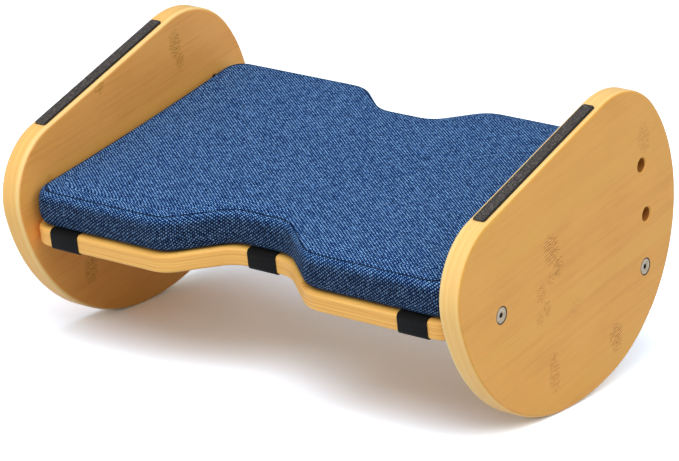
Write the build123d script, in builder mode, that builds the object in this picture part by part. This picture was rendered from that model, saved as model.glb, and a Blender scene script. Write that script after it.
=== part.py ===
from build123d import *
from math import cos, radians, sin, tan
import os

# A rocking footstool: two bamboo side panels joined by a waisted seat board
# that carries a strapped-on cushion. All sizes are millimetres and degrees.
# +X runs along the stool, -Y is its front, +Z is up; the floor is Z = 0.

# ---- side panels -------------------------------------------------------
span = 400.0                 # clear distance between the two panels
panel_thickness = 18.0
panel_roundover = 3.0
flat_front = 4.0             # ends of the straight top edge, from the pivot
flat_rear = 170.0
flat_height = 79.5           # straight edge above the pivot
crown_radius = 77.0          # upper rear corner
crown_sweep = 64.8
heel_radius = 125.0          # the long rear curve
heel_sweep = 116.0
sole_radius = 208.0          # a flatter stretch that it stands on
sole_sweep = 19.0
toe_radius = 163.0           # under the front
rest_lean = 20.0             # slope of the straight edge when it stands still

# ---- grip strips, let into the straight edge ---------------------------
strip_front = 6.0
strip_length = 160.0
strip_width = 10.5
strip_thickness = 3.0
strip_proud = 1.5
strip_corner = 2.0
strip_fit = 0.1

# ---- bolt holes --------------------------------------------------------
hole_distance = 208.0        # rear holes lie on an arc about the pivot
lowest_hole = -24.1          # angle of the hole in use, from the straight edge
hole_step = 12.0             # angle from hole to hole
spare_holes = 2
bolt_diameter = 6.0
bolt_head_diameter = 12.6
bolt_head_height = 8.0
bolt_head_rim = 0.2
bolt_head_slope = 0.8        # of the cone under the rim, down to the barrel of the head
bolt_head_edge = 0.15
dish_diameter = 9.0          # shallow cone round the hex socket
dish_depth = 0.6
hex_size = 4.0               # across flats
hex_depth = 3.4
hole_clearance = 0.4         # all round the shank
head_clearance = 0.25        # all round the barrel
head_sink = 0.2              # head below the face
head_seat_gap = 0.1
outer_rim_bevel = 1.1
inner_rim_bevel = 0.4
thread_gap = 0.1             # all round, in the nuts and inserts

# ---- seat board --------------------------------------------------------
seat_slope = 8.9             # seat falls to the rear, from the straight edge
board_thickness = 16.0
board_front = -43.0          # from the pivot
board_length = 278.0
board_corner = 15.0
board_roundover = 3.0
waist_flat = 15.0            # half length of the straight bottom of the waist
waist_radius = 30.0          # of the two arcs on each side of it
waist_slope = 42.0           # of the straight stretch between them
front_waist = 38.0
rear_waist = 31.0

# ---- rear cleats, under the ends of the board --------------------------
cleat_thickness = 15.0
cleat_ahead = 42.0           # reach along the board, each way from the insert
cleat_behind = 16.0
cleat_eye = 15.0             # radius of wood round the insert
cleat_roundover = 2.0

# ---- fasteners in the board and the cleats -----------------------------
nut_diameter = 12.0          # cross nuts that the front bolts reach
nut_length = 13.0
nut_depth = 32.0             # from the end of the board
nut_slot = 1.4
insert_diameter = 12.0       # threaded inserts that the rear bolts reach
insert_length = 13.0
socket_fit = 0.1             # all round a nut or an insert in the wood
bolt_past_nut = 3.0
bolt_short_of_insert = 1.0
bolt_point = 0.9
screw_diameter = 4.2
screw_head_diameter = 8.4
screw_length = 42.0
screw_point = 6.0
screw_tip_radius = 0.3
screw_slot_length = 4.6
screw_slot_width = 1.0
screw_slot_depth = 1.4
screw_fit = 0.1
screw_ahead = 22.0           # from the insert
screw_behind = 8.0

# ---- cushion -----------------------------------------------------------
cushion_end_gap = 1.5        # to each panel
cushion_inset = 1.5          # from the front and rear edges of the board
cushion_corner = 12.0
end_draw = 2.5               # ends pull in between the corners
base_draw = 6.0              # the side pulls in to the base and to the seam
belly_draw = 0.6
belly_low = 9.0
belly_high = 17.0
seam_draw = 2.2
seam_height = 25.0
edge_draw = 10.0             # the top rounds over and rises to its crown
edge_height = 28.5
slope_draw = 34.0
slope_height = 31.0
crown_draw = 62.0
crown_height = 32.0
corner_growth = 0.5          # corners round out as the outline pulls in
cover_thickness = 1.2

# ---- straps ------------------------------------------------------------
strap_width = 27.0
strap_thickness = 1.0
strap_offset = 167.0         # outer straps, from the middle
strap_tuck = 14.0            # length held under the cushion
strap_fit = 0.1

# ---- worked out --------------------------------------------------------
hole_angles = [lowest_hole + i * hole_step for i in range(spare_holes + 1)]
rear_holes = [(hole_distance * cos(radians(a)), hole_distance * sin(radians(a))) for a in hole_angles]
bolt_holes = [(0, 0), rear_holes[0]]
panel_holes = [(0, 0)] + rear_holes
inner_x = span / 2
outer_x = inner_x + panel_thickness
hole_radius = bolt_diameter / 2 + hole_clearance
barrel_radius = bolt_head_diameter / 2 - bolt_head_slope
counterbore_radius = barrel_radius + head_clearance
counterbore_depth = head_sink + bolt_head_height + head_seat_gap
thread_radius = bolt_diameter / 2 + thread_gap
board_rear = board_front + board_length
board_top = board_thickness / 2
cushion_base = board_top + strap_thickness + strap_fit
drop_angle = radians(-lowest_hole - seat_slope)      # bolt below the plane of the seat
insert_s = hole_distance * cos(drop_angle)
insert_h = -hole_distance * sin(drop_angle)


# The outline closes with two arcs: one of the toe radius, and a nose whose
# radius is worked out so that it runs smoothly into the straight edge.
def draw_outline():
    top = Line((flat_front, flat_height), (flat_rear, flat_height))
    crown = JernArc(top @ 1, top % 1, crown_radius, -crown_sweep)
    heel = JernArc(crown @ 1, crown % 1, heel_radius, -heel_sweep)
    sole = JernArc(heel @ 1, heel % 1, sole_radius, -sole_sweep)
    heading = sole % 1
    toe_centre = (sole @ 1) + Vector(heading.Y, -heading.X) * toe_radius
    reach = toe_centre - (top @ 0)
    nose_radius = (reach.length**2 - toe_radius**2) / (2 * (-reach.Y - toe_radius))
    nose_centre = (top @ 0) - Vector(0, nose_radius)
    joint = nose_centre + (nose_centre - toe_centre).normalized() * nose_radius
    toe = TangentArc(sole @ 1, joint, tangent=sole % 1)
    TangentArc(joint, top @ 0, tangent=toe % 1)


def upright(lean):
    """Directions along and square to a line that rises to the rear by lean degrees."""
    return (0, cos(radians(lean)), sin(radians(lean))), (0, -sin(radians(lean)), cos(radians(lean)))


along, square = upright(rest_lean)
with BuildSketch(Plane(origin=(0, 0, 0), x_dir=along, z_dir=(1, 0, 0))) as silhouette:
    with BuildLine():
        draw_outline()
    make_face()
box = silhouette.sketch.bounding_box()
pivot = Vector(0, -box.center().Y, -box.min.Z)

side_frame = Plane(origin=pivot, x_dir=along, z_dir=(1, 0, 0))
seat_along, seat_square = upright(rest_lean - seat_slope)
seat_frame = Plane(origin=pivot, x_dir=(1, 0, 0), z_dir=seat_square)
seat_section = Plane(origin=pivot, x_dir=seat_along, z_dir=(1, 0, 0))
edge_frame = Plane(origin=pivot + Vector(*square) * flat_height, x_dir=along, z_dir=square)


# Half a waist: from its straight bottom out to the full depth, as an arc, a
# slope and an arc that run smoothly into each other. way is 1 at the front, -1 at the rear.
def waist_curve(edge, depth, way):
    arc_run = waist_radius * sin(radians(waist_slope))
    arc_rise = waist_radius * (1 - cos(radians(waist_slope)))
    slope_run = (depth - 2 * arc_rise) / tan(radians(waist_slope))
    inner = (waist_flat, edge + way * depth)
    lower = (waist_flat + arc_run, edge + way * (depth - arc_rise))
    upper = (lower[0] + slope_run, edge + way * arc_rise)
    outer = (upper[0] + arc_run, edge)
    TangentArc(inner, lower, tangent=(1, 0))
    slope = Line(lower, upper)
    TangentArc(upper, outer, tangent=slope % 1)
    return inner, outer


def draw_hourglass(half, front, rear, corner, bow):
    """Waisted outline: half its length, its two edges, corner radius, inward bow of the ends."""
    front_inner, front_outer = waist_curve(front, front_waist, 1)
    rear_inner, rear_outer = waist_curve(rear, rear_waist, -1)
    Line((0, front_inner[1]), front_inner)
    Line(front_outer, (half - corner, front))
    TangentArc((half - corner, front), (half, front + corner), tangent=(1, 0))
    if bow:
        ThreePointArc((half, front + corner), (half - bow, (front + rear) / 2), (half, rear - corner))
    else:
        Line((half, front + corner), (half, rear - corner))
    TangentArc((half - corner, rear), (half, rear - corner), tangent=(1, 0))
    Line(rear_outer, (half - corner, rear))
    Line((0, rear_inner[1]), rear_inner)
    mirror(about=Plane.YZ)


def keep(solid, name):
    solid.label = name
    export_step(solid, f"parts/{name}.step")


def keep_pair(solid, name):
    """Write a right-hand piece, and its mirror image on the left."""
    keep(solid, f"right_{name}")
    with BuildPart() as twin:
        mirror(solid, about=Plane.YZ)
    keep(twin.part, f"left_{name}")


from_top = (Align.CENTER, Align.CENTER, Align.MAX)
os.makedirs("parts", exist_ok=True)

# ---- side panel --------------------------------------------------------
with BuildPart() as side_panel:
    with BuildSketch(side_frame.offset(inner_x)):
        with BuildLine():
            draw_outline()
        make_face()
    extrude(amount=panel_thickness)
    fillet(side_panel.faces().filter_by(Axis.X).edges(), panel_roundover)
    with BuildSketch(edge_frame):
        with Locations((strip_front + strip_length / 2, -(inner_x + panel_thickness / 2))):
            RectangleRounded(strip_length + 2 * strip_fit, strip_width + 2 * strip_fit, strip_corner)
    extrude(amount=strip_proud - strip_thickness, mode=Mode.SUBTRACT)
    with BuildSketch(side_frame.offset(inner_x)):
        with Locations(*panel_holes):
            Circle(hole_radius)
    extrude(amount=panel_thickness, mode=Mode.SUBTRACT)
    with BuildSketch(side_frame.offset(outer_x)):
        with Locations(*panel_holes):
            Circle(counterbore_radius)
    extrude(amount=-counterbore_depth, mode=Mode.SUBTRACT)
    rims = side_panel.edges().filter_by(GeomType.CIRCLE)
    outer_rims = rims.filter_by_position(Axis.X, outer_x - 0.01, outer_x + 0.01)
    inner_rims = rims.filter_by_position(Axis.X, inner_x - 0.01, inner_x + 0.01)
    chamfer(outer_rims.filter_by(lambda e: abs(e.radius - counterbore_radius) < 0.01), outer_rim_bevel)
    chamfer(inner_rims.filter_by(lambda e: abs(e.radius - hole_radius) < 0.01), inner_rim_bevel)
keep_pair(side_panel.part, "side_panel")

# ---- grip strip --------------------------------------------------------
with BuildPart() as grip_strip:
    with BuildSketch(edge_frame.offset(strip_proud - strip_thickness)):
        with Locations((strip_front + strip_length / 2, -(inner_x + panel_thickness / 2))):
            RectangleRounded(strip_length, strip_width, strip_corner)
    extrude(amount=strip_thickness)
keep_pair(grip_strip.part, "grip_strip")

# ---- bolts -------------------------------------------------------------
head_x = outer_x - head_sink
seat_x = head_x - bolt_head_height
front_tip_x = inner_x - nut_depth - nut_diameter / 2 - bolt_past_nut
rear_tip_x = inner_x - insert_length + bolt_short_of_insert
for bolt_name, spot, tip_x in (("front_bolt", bolt_holes[0], front_tip_x),
                               ("rear_bolt", bolt_holes[1], rear_tip_x)):
    with BuildPart() as bolt:
        with BuildSketch(side_frame.offset(head_x)):
            with Locations(spot):
                Circle(bolt_head_diameter / 2)
        extrude(amount=-bolt_head_rim)
        fillet(bolt.faces().sort_by(Axis.X)[-1].edges(), bolt_head_edge)
        with BuildSketch(side_frame.offset(head_x - bolt_head_rim)):
            with Locations(spot):
                Circle(bolt_head_diameter / 2)
        extrude(amount=-bolt_head_slope, taper=45)
        with BuildSketch(side_frame.offset(head_x - bolt_head_rim - bolt_head_slope)):
            with Locations(spot):
                Circle(barrel_radius)
        extrude(amount=bolt_head_rim + bolt_head_slope - bolt_head_height)
        with BuildSketch(side_frame.offset(seat_x)):
            with Locations(spot):
                Circle(bolt_diameter / 2)
        extrude(amount=tip_x - seat_x)
        chamfer(bolt.faces().sort_by(Axis.X)[0].edges(), bolt_point)
        with Locations(side_frame.offset(head_x)):
            with Locations(spot):
                Cone(0, dish_diameter / 2, dish_depth, align=from_top, mode=Mode.SUBTRACT)
        with BuildSketch(side_frame.offset(head_x)):
            with Locations(spot):
                RegularPolygon(hex_size / 2, 6, major_radius=False)
        extrude(amount=-hex_depth, mode=Mode.SUBTRACT)
    keep_pair(bolt.part, bolt_name)

# ---- seat board --------------------------------------------------------
cleat_x = inner_x - cleat_thickness / 2
screw_rows = (insert_s - screw_ahead, insert_s + screw_behind)
screw_spots = [(side * cleat_x, row) for side in (-1, 1) for row in screw_rows]
nut_spots = [(side * (inner_x - nut_depth), 0) for side in (-1, 1)]
bolt_bore_depth = inner_x - front_tip_x + bolt_past_nut
screw_sink = (screw_head_diameter - screw_diameter) / 2

with BuildPart() as seat_board:
    with BuildSketch(seat_frame.offset(-board_top)):
        with BuildLine():
            draw_hourglass(inner_x, board_front, board_rear, board_corner, 0)
        make_face()
    extrude(amount=board_thickness)
    broad_faces = seat_board.faces().filter_by(lambda f: abs(f.normal_at().dot(seat_frame.z_dir)) > 0.99)
    fillet(broad_faces.edges(), board_roundover)
    with BuildSketch(seat_section.offset(-inner_x)):
        Circle(hole_radius)
    extrude(amount=bolt_bore_depth, mode=Mode.SUBTRACT)
    with BuildSketch(seat_section.offset(inner_x)):
        Circle(hole_radius)
    extrude(amount=-bolt_bore_depth, mode=Mode.SUBTRACT)
    with BuildSketch(seat_frame.offset(-board_top)):
        with Locations(*nut_spots):
            Circle(nut_diameter / 2 + socket_fit)
    extrude(amount=board_top + nut_length / 2 + socket_fit, mode=Mode.SUBTRACT)
    with Locations(seat_frame.offset(board_top)):
        with Locations(*screw_spots):
            CounterSinkHole(screw_diameter / 2 + screw_fit, screw_head_diameter / 2 + screw_fit,
                            board_thickness, counter_sink_angle=90)
keep(seat_board.part, "seat_board")

# ---- rear cleat --------------------------------------------------------
with BuildPart() as rear_cleat:
    with BuildSketch(seat_section.offset(inner_x - cleat_thickness)):
        with BuildLine():
            Line((insert_s - cleat_ahead, -board_top), (insert_s + cleat_behind, -board_top))
            CenterArc((insert_s, insert_h), cleat_eye, 0, 360)
        make_hull()
    extrude(amount=cleat_thickness)
    inward_edges = rear_cleat.faces().sort_by(Axis.X)[0].edges()
    fillet(inward_edges.sort_by(Axis(pivot, seat_square))[:-1], cleat_roundover)
    with BuildSketch(seat_section.offset(inner_x)):
        with Locations((insert_s, insert_h)):
            Circle(insert_diameter / 2 + socket_fit)
    extrude(amount=-insert_length - socket_fit, mode=Mode.SUBTRACT)
    with BuildSketch(seat_frame.offset(-board_top)):
        with Locations(*screw_spots[2:]):
            Circle(screw_diameter / 2 + screw_fit)
    extrude(amount=board_thickness - screw_length, mode=Mode.SUBTRACT)
keep_pair(rear_cleat.part, "rear_cleat")

# ---- cross nut ---------------------------------------------------------
with BuildPart() as cross_nut:
    with BuildSketch(seat_frame.offset(-nut_length / 2)):
        with Locations(nut_spots[1]):
            Circle(nut_diameter / 2)
    extrude(amount=nut_length)
    with BuildSketch(seat_section.offset(inner_x)):
        Circle(thread_radius)
    extrude(amount=-2 * nut_depth, mode=Mode.SUBTRACT)
    with BuildSketch(seat_frame.offset(-nut_length / 2)):
        with Locations(nut_spots[1]):
            Rectangle(nut_diameter, nut_slot)
    extrude(amount=nut_slot, mode=Mode.SUBTRACT)
keep_pair(cross_nut.part, "cross_nut")

# ---- threaded insert ---------------------------------------------------
with BuildPart() as threaded_insert:
    with BuildSketch(seat_section.offset(inner_x)):
        with Locations((insert_s, insert_h)):
            Circle(insert_diameter / 2)
            Circle(thread_radius, mode=Mode.SUBTRACT)
    extrude(amount=-insert_length)
keep_pair(threaded_insert.part, "threaded_insert")

# ---- cleat screws ------------------------------------------------------
with BuildPart(seat_frame.offset(board_top)) as cleat_screws:
    with Locations(*screw_spots):
        Cone(screw_diameter / 2, screw_head_diameter / 2, screw_sink, align=from_top)
        Cylinder(screw_diameter / 2, screw_length - screw_point, align=from_top)
    with Locations(*[(x, y, screw_point - screw_length) for x, y in screw_spots]):
        Cone(screw_tip_radius, screw_diameter / 2, screw_point, align=from_top)
    with Locations(*screw_spots):
        Box(screw_slot_length, screw_slot_width, screw_slot_depth, align=from_top, mode=Mode.SUBTRACT)
        Box(screw_slot_width, screw_slot_length, screw_slot_depth, align=from_top, mode=Mode.SUBTRACT)
keep(cleat_screws.part, "cleat_screws")

# ---- cushion: a foam core in a cover of three panels -------------------
# Each level gives how far the outline pulls in, its height, and which way
# the core's face lies from the cover's there: up, level or down.
cushion_levels = (
    (base_draw, 0, 1),
    (belly_draw, belly_low, 0),
    (belly_draw, belly_high, 0),
    (seam_draw, seam_height, 0),
    (edge_draw, edge_height, -1),
    (slope_draw, slope_height, -1),
    (crown_draw, crown_height, -1),
)
soft_forms = {}
for form_name, skin in (("cover", 0), ("foam_core", cover_thickness)):
    with BuildPart() as soft_form:
        for draw, height, way in cushion_levels:
            pulled = draw + skin
            with BuildSketch(seat_frame.offset(cushion_base + height + way * skin)):
                with BuildLine():
                    draw_hourglass(inner_x - cushion_end_gap - pulled, board_front + cushion_inset + pulled,
                                   board_rear - cushion_inset - pulled,
                                   cushion_corner + corner_growth * draw, end_draw)
                make_face()
        loft(ruled=True)
    soft_forms[form_name] = soft_form.part
keep(soft_forms["foam_core"], "foam_core")

seam_plane = seat_frame.offset(cushion_base + seam_height)
hem_plane = seat_frame.offset(cushion_base + cover_thickness)
with BuildPart() as cushion_top:
    add(soft_forms["cover"])
    add(soft_forms["foam_core"], mode=Mode.SUBTRACT)
    split(bisect_by=seam_plane, keep=Keep.TOP)
keep(cushion_top.part, "cushion_top_panel")

with BuildPart() as cushion_side:
    add(soft_forms["cover"])
    add(soft_forms["foam_core"], mode=Mode.SUBTRACT)
    split(bisect_by=seam_plane, keep=Keep.BOTTOM)
    split(bisect_by=hem_plane, keep=Keep.TOP)
keep(cushion_side.part, "cushion_side_band")

with BuildPart() as cushion_base_panel:
    add(soft_forms["cover"])
    split(bisect_by=hem_plane, keep=Keep.BOTTOM)
keep(cushion_base_panel.part, "cushion_base_panel")

# ---- straps ------------------------------------------------------------
board_middle = (board_front + board_rear) / 2
waist_length = board_length - front_waist - rear_waist
waist_middle = board_middle + (front_waist - rear_waist) / 2
strap_places = (("left_strap", -strap_offset, board_length, board_middle),
                ("centre_strap", 0, waist_length, waist_middle),
                ("right_strap", strap_offset, board_length, board_middle))
for strap_name, place, length, middle in strap_places:
    loop = strap_fit + strap_thickness
    with BuildPart() as strap:
        with BuildSketch(seat_section.offset(place - strap_width / 2)):
            with Locations((middle, 0)):
                RectangleRounded(length + 2 * loop, board_thickness + 2 * loop, board_roundover + loop)
                RectangleRounded(length + 2 * strap_fit, board_thickness + 2 * strap_fit,
                                 board_roundover + strap_fit, mode=Mode.SUBTRACT)
            with Locations((middle, board_thickness / 2)):
                Rectangle(length - 2 * strap_tuck, board_thickness, mode=Mode.SUBTRACT)
        extrude(amount=strap_width)
    keep(strap.part, strap_name)
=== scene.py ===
import bpy
import bmesh
from math import cos, pi, radians, sin, tan, tanh
from mathutils import Matrix, Quaternion, Vector, noise


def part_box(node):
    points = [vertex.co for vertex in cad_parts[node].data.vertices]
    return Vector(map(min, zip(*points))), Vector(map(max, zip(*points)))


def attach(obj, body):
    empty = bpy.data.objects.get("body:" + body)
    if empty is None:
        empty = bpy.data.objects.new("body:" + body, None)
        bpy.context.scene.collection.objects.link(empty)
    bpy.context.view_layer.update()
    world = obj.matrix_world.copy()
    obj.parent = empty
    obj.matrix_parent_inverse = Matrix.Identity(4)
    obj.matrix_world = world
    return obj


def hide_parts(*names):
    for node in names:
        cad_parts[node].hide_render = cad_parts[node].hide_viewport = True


# A rocking footstool: bamboo side panels and seat board, a boxed cushion in blue
# woven cloth, elastic straps, granular grip strips and steel connector bolts.
# Angles are in degrees. Lengths are in millimetres and turned into metres by MM,
# but for where the camera stands and for the lights and the floor, which are in metres.
MM = 0.001

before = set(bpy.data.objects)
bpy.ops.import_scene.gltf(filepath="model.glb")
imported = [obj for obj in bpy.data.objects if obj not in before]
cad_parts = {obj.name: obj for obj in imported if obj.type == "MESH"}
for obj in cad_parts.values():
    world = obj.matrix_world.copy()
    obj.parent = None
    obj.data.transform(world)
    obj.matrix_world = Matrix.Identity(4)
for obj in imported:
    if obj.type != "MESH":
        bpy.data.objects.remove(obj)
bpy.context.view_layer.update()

# ---- sizes that the looks share with the frame ---------------------------
# Those of the seat are measured from the front bolts, whose axis lies in the
# middle of the seat board's thickness.
PANEL_LEAN = 20.0            # straight edge of a side panel, rising to the rear
PANEL_INNER = 200.0          # from the middle to the inner face of a side panel
PANEL_THICKNESS = 18.0
GRAIN_FROM_EDGE = -9.0       # grain of the side panels, from the straight edge
HOLE_DISTANCE = 208.0        # from the front bolt to the three rear holes
LOWEST_HOLE = -24.1          # angle of the lowest rear hole, from the straight edge
HOLE_STEP = 12.0             # and from there to the next hole
HOLE_WIDTH = 11.5
SEAT_TILT = 11.1             # seat, rising to the rear
BOARD_HALF = 200.0           # half the length of the seat board
BOARD_FRONT = -43.0
BOARD_REAR = 235.0
BOARD_TOP = 8.0
BOARD_THICKNESS = 16.0
WAIST_FLAT = 15.0            # half the straight middle of a waist
WAIST_RADIUS = 30.0
WAIST_SLOPE = 42.0           # between the straight middle and the long edge
FRONT_WAIST = 38.0           # how far the waists cut into the board
REAR_WAIST = 31.0

bolt_low, bolt_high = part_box("right_front_bolt")
pivot = Vector((0, (bolt_low.y + bolt_high.y) / 2, (bolt_low.z + bolt_high.z) / 2))
seat = Matrix.Translation(pivot) @ Matrix.Rotation(radians(SEAT_TILT), 4, "X")


# ---- camera and lights ----------------------------------------------------
CAMERA_TARGET = Vector((0.0224, -0.0291, 0.1149))
CAMERA_AZIMUTH = 35.29
CAMERA_ELEVATION = 17.44
CAMERA_ROLL = 0.85
CAMERA_DISTANCE = 2.9163
CAMERA_LENS = 197.1          # millimetres, as is the width of the sensor
SENSOR_WIDTH = 36.0
FAR_CLIP = 50.0

LIGHTS_AIM = Vector((0, 0, 0.1))
SOFTBOXES = (                # azimuth, elevation, distance, width, height and watts
    ("key", 15, 58, 4.0, 3.0, 3.0, 90),
    ("side", 85, 42, 4.0, 3.0, 3.0, 50),
    ("low_front", -25, 12, 4.0, 3.0, 1.6, 20),
)


def direction(azimuth, elevation):
    """From the object towards a place at that azimuth and elevation."""
    a, e = radians(azimuth), radians(elevation)
    return Vector((sin(a) * cos(e), -cos(a) * cos(e), sin(e)))


def place_object(name, data, location, turn):
    obj = bpy.data.objects.new(name, data)
    bpy.context.collection.objects.link(obj)
    obj.location = location
    obj.rotation_mode = "QUATERNION"
    obj.rotation_quaternion = turn
    return obj


def add_camera():
    data = bpy.data.cameras.new("camera")
    data.lens = CAMERA_LENS
    data.sensor_width = SENSOR_WIDTH
    data.clip_end = FAR_CLIP
    back = direction(CAMERA_AZIMUTH, CAMERA_ELEVATION)
    aim = (-back).to_track_quat("-Z", "Y") @ Quaternion((0, 0, 1), radians(CAMERA_ROLL))
    camera = place_object("camera", data, CAMERA_TARGET + back * CAMERA_DISTANCE, aim)
    bpy.context.scene.camera = camera


def add_softbox(name, azimuth, elevation, distance, width, height, watts):
    data = bpy.data.lights.new(name, "AREA")
    data.shape = "RECTANGLE"
    data.size = width
    data.size_y = height
    data.energy = watts
    back = direction(azimuth, elevation)
    place_object(name, data, LIGHTS_AIM + back * distance, (-back).to_track_quat("-Z", "Y"))


# ---- short calls for shader nodes ----------------------------------------
def srgb(red, green, blue):
    """A colour given as 0 to 255 screen values, as linear light."""
    def linear(v):
        v /= 255
        return v / 12.92 if v <= 0.04045 else ((v + 0.055) / 1.055) ** 2.4
    return linear(red), linear(green), linear(blue), 1.0


def set_input(tree, socket, value):
    if isinstance(value, bpy.types.NodeSocket):
        tree.links.new(value, socket)
    else:
        socket.default_value = value


def add_node(tree, kind, inputs=None, **settings):
    node = tree.nodes.new("ShaderNode" + kind)
    for name, value in settings.items():
        setattr(node, name, value)
    for socket, value in (inputs or {}).items():
        set_input(tree, node.inputs[socket], value)
    return node


def calc(tree, operation, first, second=0.0, third=0.0):
    return add_node(tree, "Math", {0: first, 1: second, 2: third}, operation=operation).outputs[0]


def total(tree, first, *others):
    for other in others:
        first = calc(tree, "ADD", first, other)
    return first


def scaled(tree, value, factor, shift=0.0):
    return calc(tree, "MULTIPLY_ADD", value, factor, shift)


def swing(tree, value, amount):
    """A value from 0 to 1 as a swing about 0, amount wide in all."""
    return scaled(tree, value, amount, -amount / 2)


def limited(tree, value, low, high):
    """0 below low, 1 above high, smooth between. With low above high it runs the other way."""
    node = add_node(tree, "MapRange", {0: value, 1: low, 2: high, 3: 0.0, 4: 1.0},
                    interpolation_type="SMOOTHSTEP")
    return node.outputs[0]


def from_middle(tree, place):
    """How far a place is from the middle of its step: 0 there, 0.5 where two steps meet."""
    return calc(tree, "ABSOLUTE", scaled(tree, calc(tree, "FRACT", place), 1.0, -0.5))


def wave(tree, place, pitch):
    return calc(tree, "SINE", scaled(tree, place, 2 * pi / pitch))


def blend_colours(tree, factor, first, second):
    return add_node(tree, "Mix", {0: factor, 6: first, 7: second}, data_type="RGBA").outputs[2]


def ramp(tree, factor, stops):
    node = add_node(tree, "ValToRGB", {0: factor})
    elements = node.color_ramp.elements
    while len(elements) < len(stops):
        elements.new(0.5)
    for element, (place, colour) in zip(elements, stops):
        element.position = place
        element.color = colour
    return node.outputs[0]


def vector(tree, x, y, z=0.0):
    return add_node(tree, "CombineXYZ", {0: x, 1: y, 2: z}).outputs[0]


def parts_of(tree, place):
    return add_node(tree, "SeparateXYZ", {0: place}).outputs


def object_place(tree):
    return add_node(tree, "TexCoord").outputs["Object"]


def attribute(tree, name):
    return add_node(tree, "Attribute", attribute_name=name).outputs["Fac"]


def white_noise(tree, dimensions, *place):
    """A value from 0 to 1 of its own for each place."""
    node = add_node(tree, "TexWhiteNoise", {"Vector": vector(tree, *place)},
                    noise_dimensions=dimensions)
    return node.outputs[0]


def noise_at(tree, spot, detail, roughness, scale=1.0):
    node = add_node(tree, "TexNoise", {"Vector": spot, "Scale": scale, "Detail": detail,
                                       "Roughness": roughness})
    return node.outputs[0]


def grains(tree, place, per_mm, detail=3.0, roughness=0.5):
    """Noise from 0 to 1. per_mm is how many grains fit in a millimetre of each coordinate.

    Coordinates past the end of per_mm are used as they are. A number among them sets
    this noise apart from the others at the same place.
    """
    spot = [scaled(tree, at, count) for at, count in zip(place, per_mm)]
    return noise_at(tree, vector(tree, *spot, *place[len(per_mm):]), detail, roughness)


def new_material(name):
    material = bpy.data.materials.new(name)
    material.use_nodes = True
    tree = material.node_tree
    tree.nodes.clear()
    shader = add_node(tree, "BsdfPrincipled")
    add_node(tree, "OutputMaterial", {0: shader.outputs[0]})
    return material, tree, shader


def set_finish(tree, shader, **values):
    for name, value in values.items():
        set_input(tree, shader.inputs[name.replace("_", " ")], value)


def add_bump(tree, shader, height, distance, strength):
    bump = add_node(tree, "Bump", {"Height": height, "Distance": distance * MM,
                                   "Strength": strength})
    tree.links.new(bump.outputs[0], shader.inputs["Normal"])


def turned_material(name, turn):
    """A material whose pattern is in millimetres from the front bolt, turned about the X axis."""
    material, tree, shader = new_material(name)
    turned = add_node(tree, "Mapping", {
        "Vector": object_place(tree), "Location": pivot, "Scale": (MM, MM, MM),
        "Rotation": (radians(turn), 0, 0)}, vector_type="TEXTURE")
    return material, tree, shader, parts_of(tree, turned.outputs[0])


# ---- bamboo ---------------------------------------------------------------
STRIP_WIDTH = 19.0
STRIP_JUMP = 130.0           # from the pattern of one strip to the next, at most, along the grain
PLIES = 3
PLY_JUMP = 7.3               # from the strips of one ply to those of the next, across the grain
PLY_SLACK = 0.01             # keeps the very faces of a board inside its outer plies
# node scars: along and across the grain, half length, half width, strength
KNUCKLES = {
    "right": ((72, 21, 10, 12, 1.0), (79, 4, 7, 9, 0.9), (69, -2, 5, 5, 0.6), (54, -8, 6, 8, 0.7),
              (60, -23, 5, 7, 0.7), (50, -28, 5, 5, 0.6), (63, -81, 7, 17, 0.7),
              (152, -93, 9, 12, 0.9), (211, 54, 9, 13, 0.5), (98, -41, 12, 8, 0.25)),
    "left": ((160, 82, 7, 12, 0.8), (164, 66, 5, 8, 0.6), (20, -60, 8, 13, 0.8),
             (175, -30, 8, 12, 0.7), (-15, 30, 7, 10, 0.5), (60, 88, 6, 8, 0.6)),
    "board": ((-120, 210, 8, 12, 0.8), (60, -40, 8, 12, 0.7), (150, 90, 8, 12, 0.8),
              (-40, 60, 8, 12, 0.8)),
}
DASH_PITCH = 2.1             # the fine dashes of a knuckle, across the grain
DASH_SLANT = 0.12            # and how far they turn from the grain
KNUCKLE_BASE = srgb(208, 148, 58)
KNUCKLE_BROWN = srgb(164, 98, 14)
KNUCKLE_PALE = srgb(255, 196, 100)

# a face is light, middle, dark and yellow; a rim is light and dark
PANEL_FACE = {
    "right": (srgb(236, 178, 94), srgb(228, 166, 77), srgb(207, 145, 60), srgb(224, 172, 76)),
    # the left panel's colours are paler than the right's: painted light, making up for the light
    # its inner face lacks
    "left": (srgb(246, 185, 106), srgb(242, 172, 88), srgb(214, 142, 62), srgb(234, 174, 84)),
}
PANEL_RIM = {
    "right": (srgb(253, 216, 142), srgb(246, 186, 98)),
    "left": (srgb(253, 210, 130), srgb(243, 178, 88)),
}
BOARD_FACE = srgb(246, 200, 118), srgb(238, 184, 96), srgb(206, 146, 64), srgb(236, 188, 96)
BOARD_RIM = srgb(255, 204, 116), srgb(230, 160, 74)

# the share of a strip by which a piece's pattern is shifted
PANEL_SHIFT = {"right": 0.35, "left": 0.6}
BOARD_SHIFT = 0.0
CLEAT_SHIFT = 0.4
CLEAT_LOW = -100.0           # a thick slab round the cleats, so that no rim shows on them
CLEAT_SLAB = 200.0

BOLT_RING = 14.8             # painted contact shadow: a dark ring round a bolt head
# painted shade on the drilled walls of the bolt holes
HOLE_SHADE = srgb(172, 112, 50)
# painted contact shadow round each bolt head
BOLT_SHADOW = srgb(58, 26, 4)
ARRIS_HIGHLIGHT = srgb(255, 228, 160)   # painted highlight on the inner arris of a side panel


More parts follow.
